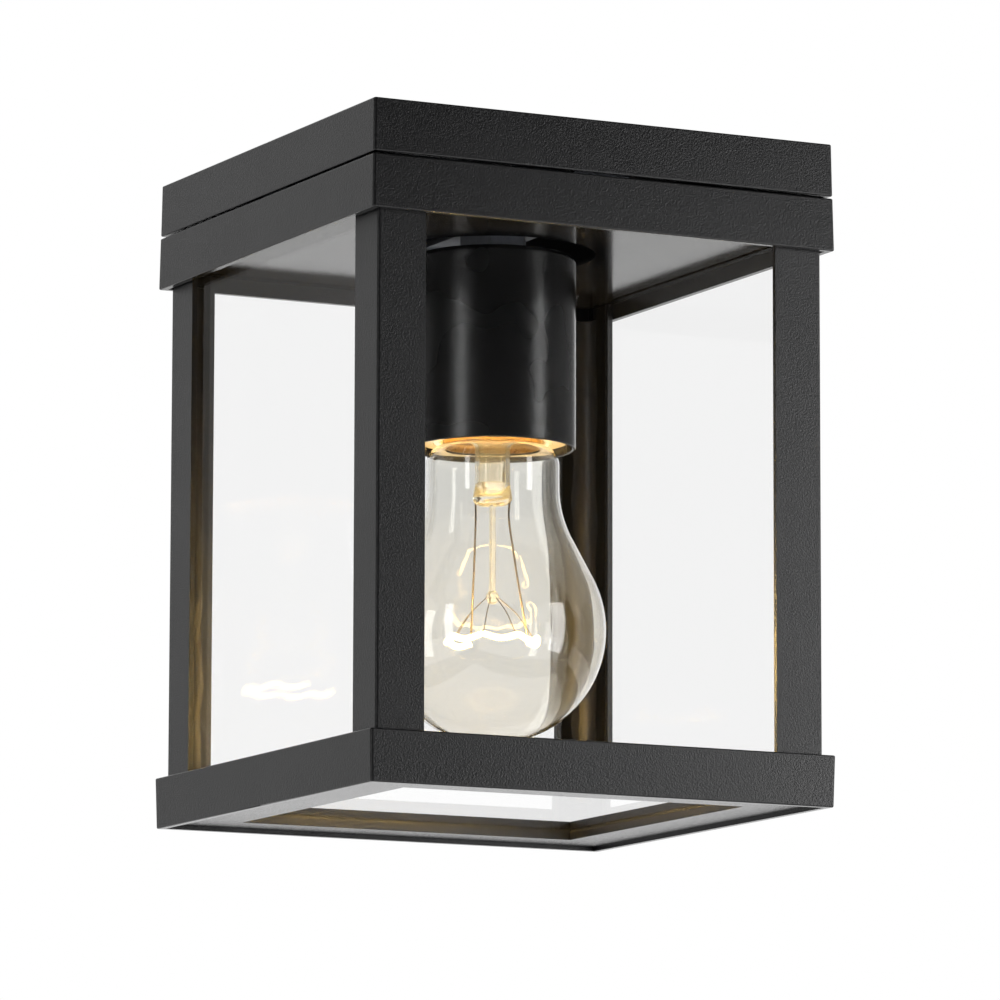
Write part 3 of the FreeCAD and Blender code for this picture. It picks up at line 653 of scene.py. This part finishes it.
@dataclass
class Lamp:
    """Clear pear-shaped lamp: blown envelope, screw cap, stem with its pinch, leads and filament."""

    body: str = "lamp"
    wall: float = 0.7 * MM
    ball_radius: float = 30.25 * MM
    neck_radius: float = 17.9 * MM
    flare_angle: float = 27.5
    flare_radius: float = 30.0 * MM
    shoulder_radius: float = 5.5 * MM
    glass_in_cap: float = 4.0 * MM
    thread_pitch: float = 3.629 * MM
    thread_depth: float = 1.0 * MM
    thread_fade: float = 1.5 * MM
    plain_skirt: float = 2.0 * MM
    cone_height: float = 3.0 * MM
    cone_radius: float = 8.5 * MM
    cap_sheet: float = 0.3 * MM
    foot_radius: float = 11.0 * MM
    foot_drop: float = 5.0 * MM
    stem_reach: float = 16.5 * MM
    tube_radius: float = 4.7 * MM
    tube_wall: float = 1.0 * MM
    mount_turn: float = -38.5
    pinch_half: float = 5.6 * MM
    pinch_depth: float = 2.0 * MM
    pinch_height: float = 6.0 * MM
    arbor_radius: float = 0.85 * MM
    arbor_length: float = 24.3 * MM
    button_radius: float = 1.8 * MM
    lead_radius: float = 0.28 * MM
    support_radius: float = 0.13 * MM
    lead_spread: float = 4.6 * MM
    lead_straight: float = 5.0 * MM
    ring_radius: float = 12.0 * MM
    ring_gap: float = 80.0
    spans: int = 6
    sag: float = 1.2 * MM
    coil_radius: float = 0.66 * MM
    coil_pitch: float = 0.72 * MM
    coil_wire: float = 0.22 * MM

    def build(self) -> None:
        """Makes every part of the lamp in order from the glass inwards."""
        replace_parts(piece("envelope", [self.envelope()], BLOWN_GLASS, self.body), "bulb_glass")
        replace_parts(piece("screw_cap", [self.cap()], BRASS, self.body), "bulb_cap")
        dress(VITRITE, "bulb_insulator")
        dress(SOLDER, "bulb_contact")
        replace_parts(piece("stem", self.stem(), STEM_GLASS, self.body), "bulb_stem")
        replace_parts(piece("lead_wires", self.leads(), NICKEL, self.body), "bulb_leads")
        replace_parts(piece("support_wires", self.supports(), NICKEL, self.body), "filament_hooks")
        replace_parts(piece("coiled_filament", [self.filament()], FILAMENT, self.body), "bulb_filament")

    def tip(self) -> float:
        """Level of the glass's lowest point."""
        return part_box("bulb_glass")[0][2]

    def skirt(self) -> float:
        """Level of the cap's lower edge."""
        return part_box("bulb_cap")[0][2]

    def outline(self, inset: float) -> np.ndarray:
        """Profile of the glass from its tip to its end in the cap, drawn inwards by the inset.

        A ball up to the flare angle, a straight flare tangent to it, a hollow curve into the
        upright neck and a round shoulder into the cap. The inset curves share the outer ones'
        centres, so the wall is even.

        Args:
            inset: Distance inwards from the outer skin.

        Returns:
            Array of (radius, level) rows.
        """
        slope = math.radians(self.flare_angle)
        centre = self.tip() + self.ball_radius
        ball, hollow = self.ball_radius - inset, self.flare_radius + inset
        shoulder = self.shoulder_radius - inset
        reach = self.ball_radius * math.cos(slope) - self.neck_radius
        run = (reach - self.flare_radius * (1 - math.cos(slope))) / math.sin(slope)
        start = np.array([ball * math.cos(slope), centre + ball * math.sin(slope)])
        upper = start + run * np.array([-math.sin(slope), math.cos(slope)])
        mid = np.array([self.neck_radius + self.flare_radius, upper[1] + hollow * math.sin(slope)])
        corner = np.array([self.neck_radius - self.shoulder_radius, self.skirt() - self.shoulder_radius])
        low, bend = sweep(-88.5, self.flare_angle, 90), sweep(180 + self.flare_angle, 180, 26)
        top = sweep(0, 84, 12)
        pieces = [np.stack([ball * np.cos(low), centre + ball * np.sin(low)], -1),
                  mid + hollow * np.stack([np.cos(bend), np.sin(bend)], -1),
                  corner + shoulder * np.stack([np.cos(top), np.sin(top)], -1)]
        end = [[corner[0] - inset, self.skirt() + self.glass_in_cap]]
        return np.vstack(pieces + [end])

    def envelope(self) -> Skin:
        """Outer skin up and inner skin down, one closed wall that ends on the axis twice."""
        return spun(np.vstack([self.outline(0), self.outline(self.wall)[::-1]]), 180, loop=False)

    def cap(self) -> Skin:
        """Rolled thread on a sheet: the radius adds half the depth times cos(2 pi z / pitch - t).

        The wave fades in above the plain skirt and out below the cone, and the inner wall
        repeats it one sheet further in.
        """
        low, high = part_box("bulb_cap")
        radius = high[0]
        level = np.linspace(low[2], high[2], 110)[:, None]
        turn = (np.arange(96) * TURN / 96)[None, :]
        cone = high[2] - self.cone_height
        fade = np.clip(np.minimum(level - low[2] - self.plain_skirt, cone - level) / self.thread_fade, 0, 1)
        taper = np.clip((level - cone) / (high[2] - cone), 0, 1) * (radius - self.cone_radius)
        groove = 1 - np.cos(TURN * level / self.thread_pitch - turn)
        wave = radius - taper - fade * self.thread_depth / 2 * groove
        walls = [np.stack([r * np.cos(turn), r * np.sin(turn), np.broadcast_to(z, r.shape)], -1)
                 for r, z in ((wave, level), ((wave - self.cap_sheet)[::-1], level[::-1]))]
        return grid_skin(np.concatenate(walls), loop=True)

    def stem(self) -> list[Skin]:
        """Flared foot and tube, flattened pinch, and the arbor with its button.

        The pinch's section is a superellipse that turns from the tube's circle into a flat bar:
        half widths w and d change with height, and x, y = w c |c|^(n-1), d s |s|^(n-1). Its lower
        end is rounded, w and d times sqrt(1 - 0.7 u^2), and the marks of the tongs wave its sides.
        """
        foot_z = self.skirt() + self.glass_in_cap
        end = self.stem_end()
        pinch = end + self.pinch_height
        r, w = self.tube_radius, self.tube_wall
        flare = sweep(0, 90, 12)
        curve = np.stack([self.foot_radius - (self.foot_radius - r) * np.sin(flare),
                          foot_z - self.foot_drop * (1 - np.cos(flare))], -1)
        tube = np.vstack([curve, [[r, pinch]], [[r - w, pinch]], (curve - [w, 0])[::-1]])
        t = np.linspace(0, 1, 32)[:, None]
        ease = t * t * (3 - 2 * t)
        turn = (np.arange(64) * TURN / 64)[None, :]
        rounded = np.sqrt(1 - 0.7 * np.clip((t - 0.6) / 0.4, 0, 1) ** 2)
        marks = 1 + 0.14 * ease * np.sin(TURN * 2.5 * t + 2 * turn)
        wide = (r + (self.pinch_half - r) * ease) * rounded
        deep = (r + (self.pinch_depth - r) * np.clip(ease * 1.6, 0, 1)) * rounded * marks
        level = pinch - self.pinch_height * t
        power = 1 - 0.35 * ease
        flat = np.stack([wide * np.sign(np.cos(turn)) * np.abs(np.cos(turn)) ** power,
                         deep * np.sign(np.sin(turn)) * np.abs(np.sin(turn)) ** power,
                         np.broadcast_to(level, (32, 64))], -1)
        return [spun(tube, 72), grid_skin(self.turned(flat)), self.arbor()]

    def turned(self, points: np.ndarray) -> np.ndarray:
        """Points of the mount turned to the way it stands in the envelope."""
        return points @ about_z(math.radians(self.mount_turn))

    def stem_end(self) -> float:
        """Level of the pinch's lower end."""
        return self.skirt() - self.stem_reach

    def button(self) -> float:
        """Level of the arbor's button."""
        return self.stem_end() - self.arbor_length

    def arbor(self) -> Skin:
        """Thin rod that ends in a round button: the radius is the larger of rod and ball."""
        ball, start = self.button_radius, self.stem_end() + 0.4 * MM
        level = np.concatenate([np.linspace(start, self.button() + ball, 6, endpoint=False),
                                self.button() + ball * np.cos(sweep(0, 176, 22))])
        round_part = np.sqrt(np.clip(ball**2 - (level - self.button()) ** 2, 0, None))
        radius = np.maximum(round_part, np.where(level > self.button(), self.arbor_radius, 0))
        return spun(np.stack([radius, level], -1), 40, loop=False)

    def ring(self, share: np.ndarray) -> np.ndarray:
        """Centre line of the filament at shares 0 to 1 of its length, before the mount is turned.

        It runs round the arbor at a constant radius, from lead to lead, and hangs down between its
        supports: the level is the supports' less sag |sin(pi spans share)|^1.2.
        """
        low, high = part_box("bulb_filament")
        height = high[2] - low[2] - self.sag
        turn = np.radians(90 + self.ring_gap / 2 + (360 - self.ring_gap) * share)
        level = high[2] - height / 2 - self.sag * np.abs(np.sin(math.pi * self.spans * share)) ** 1.2
        return np.stack([self.ring_radius * np.cos(turn), self.ring_radius * np.sin(turn), level], -1)

    def filament(self) -> Skin:
        """Fine helix round the ring: ring + coil radius times (cos, sin) of its turn, across the ring."""
        line = self.ring(np.linspace(0, 1, 400))
        length = np.linalg.norm(np.diff(line, axis=0), axis=1).sum()
        turns = length / self.coil_pitch
        share = np.linspace(0, 1, int(turns * 12))
        centre = self.turned(self.ring(share))
        along = unit(np.gradient(centre, axis=0))
        outwards = unit(centre * [1, 1, 0])
        across = unit(np.cross(along, outwards))
        over = np.cross(across, along)
        spin = (share * turns * TURN)[:, None]
        arm = over * np.cos(spin) + across * np.sin(spin)
        return wire(centre + self.coil_radius * arm, self.coil_wire, arm, 6)

    def leads(self) -> list[Skin]:
        """Two wires out of the pinch, straight at first and then bent to the ends of the filament."""
        wires = []
        for side, share in ((-1, 0.0), (1, 1.0)):
            end = self.ring(np.array([share]))[0]
            top = np.array([side * self.lead_spread, 0, self.stem_end() + 1.5 * MM])
            bend = np.array([side * self.lead_spread, 0, self.stem_end() - self.lead_straight])
            knots = np.array([top, bend, bend * 0.5 + end * 0.5, end + [0, 0, 1.2 * MM],
                              end - [0, 0, 0.3 * MM]])
            wires.append(wire(self.turned(smooth_path(knots)), self.lead_radius, np.array([0, 1, 0.0])))
        return wires

    def supports(self) -> list[Skin]:
        """Fine wires from the button to the filament's high points, each with a small eye."""
        wires = []
        for hook in range(1, self.spans):
            tip = self.ring(np.array([hook / self.spans]))[0]
            out = unit(tip * [1, 1, 0])
            button = np.array([0, 0, self.button()]) + out * 1.5 * MM
            knots = np.array([button, button * 0.5 + tip * 0.5 + [0, 0, 0.7 * MM], tip - out * 0.9 * MM,
                              tip + [0, 0, 0.75 * MM], tip + out * 0.8 * MM])
            side = self.turned(np.cross(out, [0, 0, 1.0]))
            wires.append(wire(self.turned(smooth_path(knots, 8)), self.support_radius, side, 6))
        return wires


@dataclass
class Cage:
    """Head band, ceiling plate, posts, panes and the mitred bottom frame."""

    body: str = "cage"
    bead_leg: float = 5.0 * MM
    bead_rows: int = 420
    bead_ripple: float = 0.45 * MM

    def build(self) -> None:
        """Dresses the metalwork and the panes and runs the corner sealant."""
        dress(COAT, "head_frame", "post_front_left", "post_front_right", "post_back_left", "post_back_right")
        dress(FRAME_COAT, "bottom_frame")
        dress(PLATE_COAT, "ceiling_plate")
        dress(SCREW_BLACK, "clamp_screws")
        dress(FLOAT_GLASS, "pane_front", "pane_right", "pane_back", "pane_left")
        dress(SEALANT, "pane_sealant")
        dress(RUBBER, "bottom_gasket")
        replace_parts(piece("corner_sealant", self.beads(), SEALANT, self.body), "corner_beads")

    def beads(self) -> list[Skin]:
        """Four fillets tooled by hand: their two edges wander as sums of sines along the corner."""
        low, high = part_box("corner_beads")
        half = high[0]
        level = np.linspace(low[2], high[2], self.bead_rows)[:, None]
        arc_share = np.linspace(0, 1, 9)[None, :]
        skins = []
        for quarter in range(4):
            first, second = (self.wander(level, quarter * 2 + edge) for edge in (0, 1))
            curve = 1 - np.sin(math.pi / 2 * arc_share) * 0.98
            other = 1 - np.cos(math.pi / 2 * arc_share) * 0.98
            x, y = half - first * curve, half - second * other
            rim = np.stack([x, y, np.broadcast_to(level, x.shape)], -1)
            corner = np.concatenate([np.full_like(level, half), np.full_like(level, half), level], 1)[:, None]
            ring = np.concatenate([corner, rim], axis=1)
            skins.append(grid_skin(ring @ about_z(quarter * TURN / 4)))
        return skins

    def wander(self, level: np.ndarray, seed: int) -> np.ndarray:
        """Width of a sealant's edge along its length: the leg plus seeded sines, 3 to 40 mm long."""
        rng = np.random.default_rng(40 + seed)
        length = rng.uniform(3, 40, 14) * MM
        phase = rng.uniform(0, TURN, 14)
        waves = np.sin(TURN * level / length + phase) * (length / length.max()) ** 0.35
        return self.bead_leg + self.bead_ripple * waves.sum(axis=1, keepdims=True) / 3


@dataclass
class BottomPane:
    """Loose pane that is lifted out to change the lamp."""

    def build(self) -> None:
        """Dresses the pane."""
        dress(LOOSE_GLASS, "bottom_glass")


# ---- studio ---------------------------------------------------------------------------------------

@dataclass
class Softbox:
    """An upright area lamp aimed at the lantern."""

    name: str
    at: tuple[float, float, float]
    size: tuple[float, float]
    power: float

    def build(self, aim: Vector) -> None:
        """Places the lamp."""
        light = bpy.data.lights.new(self.name, "AREA")
        light.shape, light.energy = "RECTANGLE", self.power
        light.size, light.size_y = self.size
        lamp = bpy.data.objects.new(self.name, light)
        lamp.location = self.at
        lamp.rotation_euler = (aim - Vector(self.at)).to_track_quat("-Z", "Y").to_euler()
        lamp.visible_camera = False
        bpy.context.scene.collection.objects.link(lamp)


@dataclass
class Studio:
    """White room, pale floor, soft lamps and the camera at the photo's angle."""

    azimuth: float = -26.62
    elevation: float = -8.597
    roll: float = 0.153
    distance: float = 1.8382
    aim: tuple[float, float, float] = (0.0, 0.0, -0.08994)
    lens: float = 248.24
    shift: tuple[float, float] = (0.0094, -0.0030)
    floor_level: float = -1.3
    floor_half: float = 6.0
    floor_glow: float = 0.7
    dark_wall: float = 0.02
    right_wall: float = 0.35
    left_share: float = 0.5
    plain_light: float = 0.5
    left_blend: tuple[float, float] = (-0.6, 0.2)
    back_blend: tuple[float, float] = (0.35, 0.75)
    right_blend: tuple[float, float] = (0.5, 1.0)

    def build(self) -> None:
        """Sets room, floor, lamps and camera."""
        self.room()
        self.floor()
        for box in (Softbox("strip_left", (-1.41, -0.48, -0.05), (0.22, 0.9), 3.2),
                    Softbox("strip_right", (0.82, -1.26, -0.28), (0.24, 0.5), 0.7),
                    Softbox("near_right", (0.43, -0.45, -0.12), (0.2, 0.46), 1.6)):
            box.build(Vector(self.aim))
        self.camera()
        bpy.context.scene.view_settings.view_transform = "Standard"

    def room(self) -> None:
        """White room: plain white to the eye and through glass, and a level light on matt surfaces.

        A mirror sees its walls: white at the back, along +Y, duller to the left, half lit at the
        right, and dark behind the camera.
        """
        world = bpy.data.worlds.new("white_room")
        world.use_nodes = True
        tree = world.node_tree
        tree.nodes.clear()
        way = add(tree, "ShaderNodeTexCoord").outputs["Generated"]
        split = add(tree, "ShaderNodeSeparateXYZ", {0: way}).outputs
        left = self.blend(tree, split["X"], self.left_blend, self.left_share, 1.0)
        back = self.blend(tree, split["Y"], self.back_blend, self.dark_wall, left)
        right = self.blend(tree, split["X"], self.right_blend, 0.0, self.right_wall)
        walls = combine(tree, "MAXIMUM", back, right)
        path = add(tree, "ShaderNodeLightPath").outputs
        bounced = combine(tree, "MAXIMUM", path["Glossy Depth"], path["Diffuse Depth"])
        direct = combine(tree, "GREATER_THAN", path["Is Transmission Ray"], bounced)
        seen = combine(tree, "MAXIMUM", path["Is Camera Ray"], direct)
        mirrored = combine(tree, "GREATER_THAN", path["Is Glossy Ray"], path["Diffuse Depth"])
        level = add(tree, "ShaderNodeMapRange", {
            "Value": mirrored, "To Min": self.plain_light, "To Max": walls}).outputs[0]
        strength = combine(tree, "MAXIMUM", level, seen)
        white = add(tree, "ShaderNodeBackground", {"Color": linear("ffffff"), "Strength": strength})
        add(tree, "ShaderNodeOutputWorld", {"Surface": white.outputs[0]})
        bpy.context.scene.world = world

    def blend(self, tree: bpy.types.NodeTree, along: bpy.types.NodeSocket, ends: tuple[float, float],
              low: float, high: object) -> bpy.types.NodeSocket:
        """Smooth step from low to high while a direction's component runs between the two ends."""
        return add(tree, "ShaderNodeMapRange", {
            "Value": along, "From Min": ends[0], "From Max": ends[1], "To Min": low, "To Max": high},
            interpolation_type="SMOOTHSTEP").outputs[0]

    def floor(self) -> None:
        """Plain pale floor, lifted towards white for the eye, in mirrors and through glass."""
        half, level = self.floor_half, self.floor_level
        mesh = bpy.data.meshes.new("studio_floor")
        corners = ((-half, -half), (half, -half), (half, half), (-half, half))
        mesh.from_pydata([(x, y, level) for x, y in corners], [], [(0, 1, 2, 3)])
        material, tree = blank("matt_white_paint")
        paint = add(tree, "ShaderNodeBsdfPrincipled", {"Base Color": linear("f2f2f2"), "Roughness": 0.8})
        path = add(tree, "ShaderNodeLightPath").outputs
        indirect = combine(tree, "MAXIMUM", path["Is Glossy Ray"], path["Is Transmission Ray"])
        seen = combine(tree, "MAXIMUM", path["Is Camera Ray"], indirect)
        share = combine(tree, "MULTIPLY", seen, self.floor_glow)
        glow = add(tree, "ShaderNodeEmission", {"Color": linear("ffffff"), "Strength": 1.0})
        lifted = add(tree, "ShaderNodeMixShader", {"Fac": share, 1: paint.outputs[0], 2: glow.outputs[0]})
        show(tree, lifted.outputs[0])
        mesh.materials.append(material)
        floor = bpy.data.objects.new("studio_floor", mesh)
        bpy.context.scene.collection.objects.link(floor)

    def camera(self) -> None:
        """Camera that looks slightly up at the lantern, with the photo's framing."""
        data = bpy.data.cameras.new("camera")
        data.lens, data.sensor_width = self.lens, 36.0
        data.shift_x, data.shift_y = self.shift
        turn, rise, roll = (math.radians(v) for v in (self.azimuth, self.elevation, self.roll))
        back = Vector((math.sin(turn) * math.cos(rise), -math.cos(turn) * math.cos(rise), math.sin(rise)))
        right = Vector((math.cos(turn), math.sin(turn), 0))
        up = back.cross(right)
        right, up = right * math.cos(roll) + up * math.sin(roll), up * math.cos(roll) - right * math.sin(roll)
        camera = bpy.data.objects.new("camera", data)
        camera.matrix_world = Matrix.Translation(Vector(self.aim) + back * self.distance) @ Matrix(
            (right, up, back)).transposed().to_4x4()
        bpy.context.scene.collection.objects.link(camera)
        bpy.context.scene.camera = camera


def main() -> None:
    """Builds the studio and every sub-assembly in order."""
    logging.basicConfig(level=logging.INFO, format="%(message)s")
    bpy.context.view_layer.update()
    Studio().build()
    for assembly in (Canopy(), LampHolder(), Lamp(), Cage(), BottomPane()):
        log.info("building %s", type(assembly).__name__)
        assembly.build()


if __name__ == "__main__":
    main()
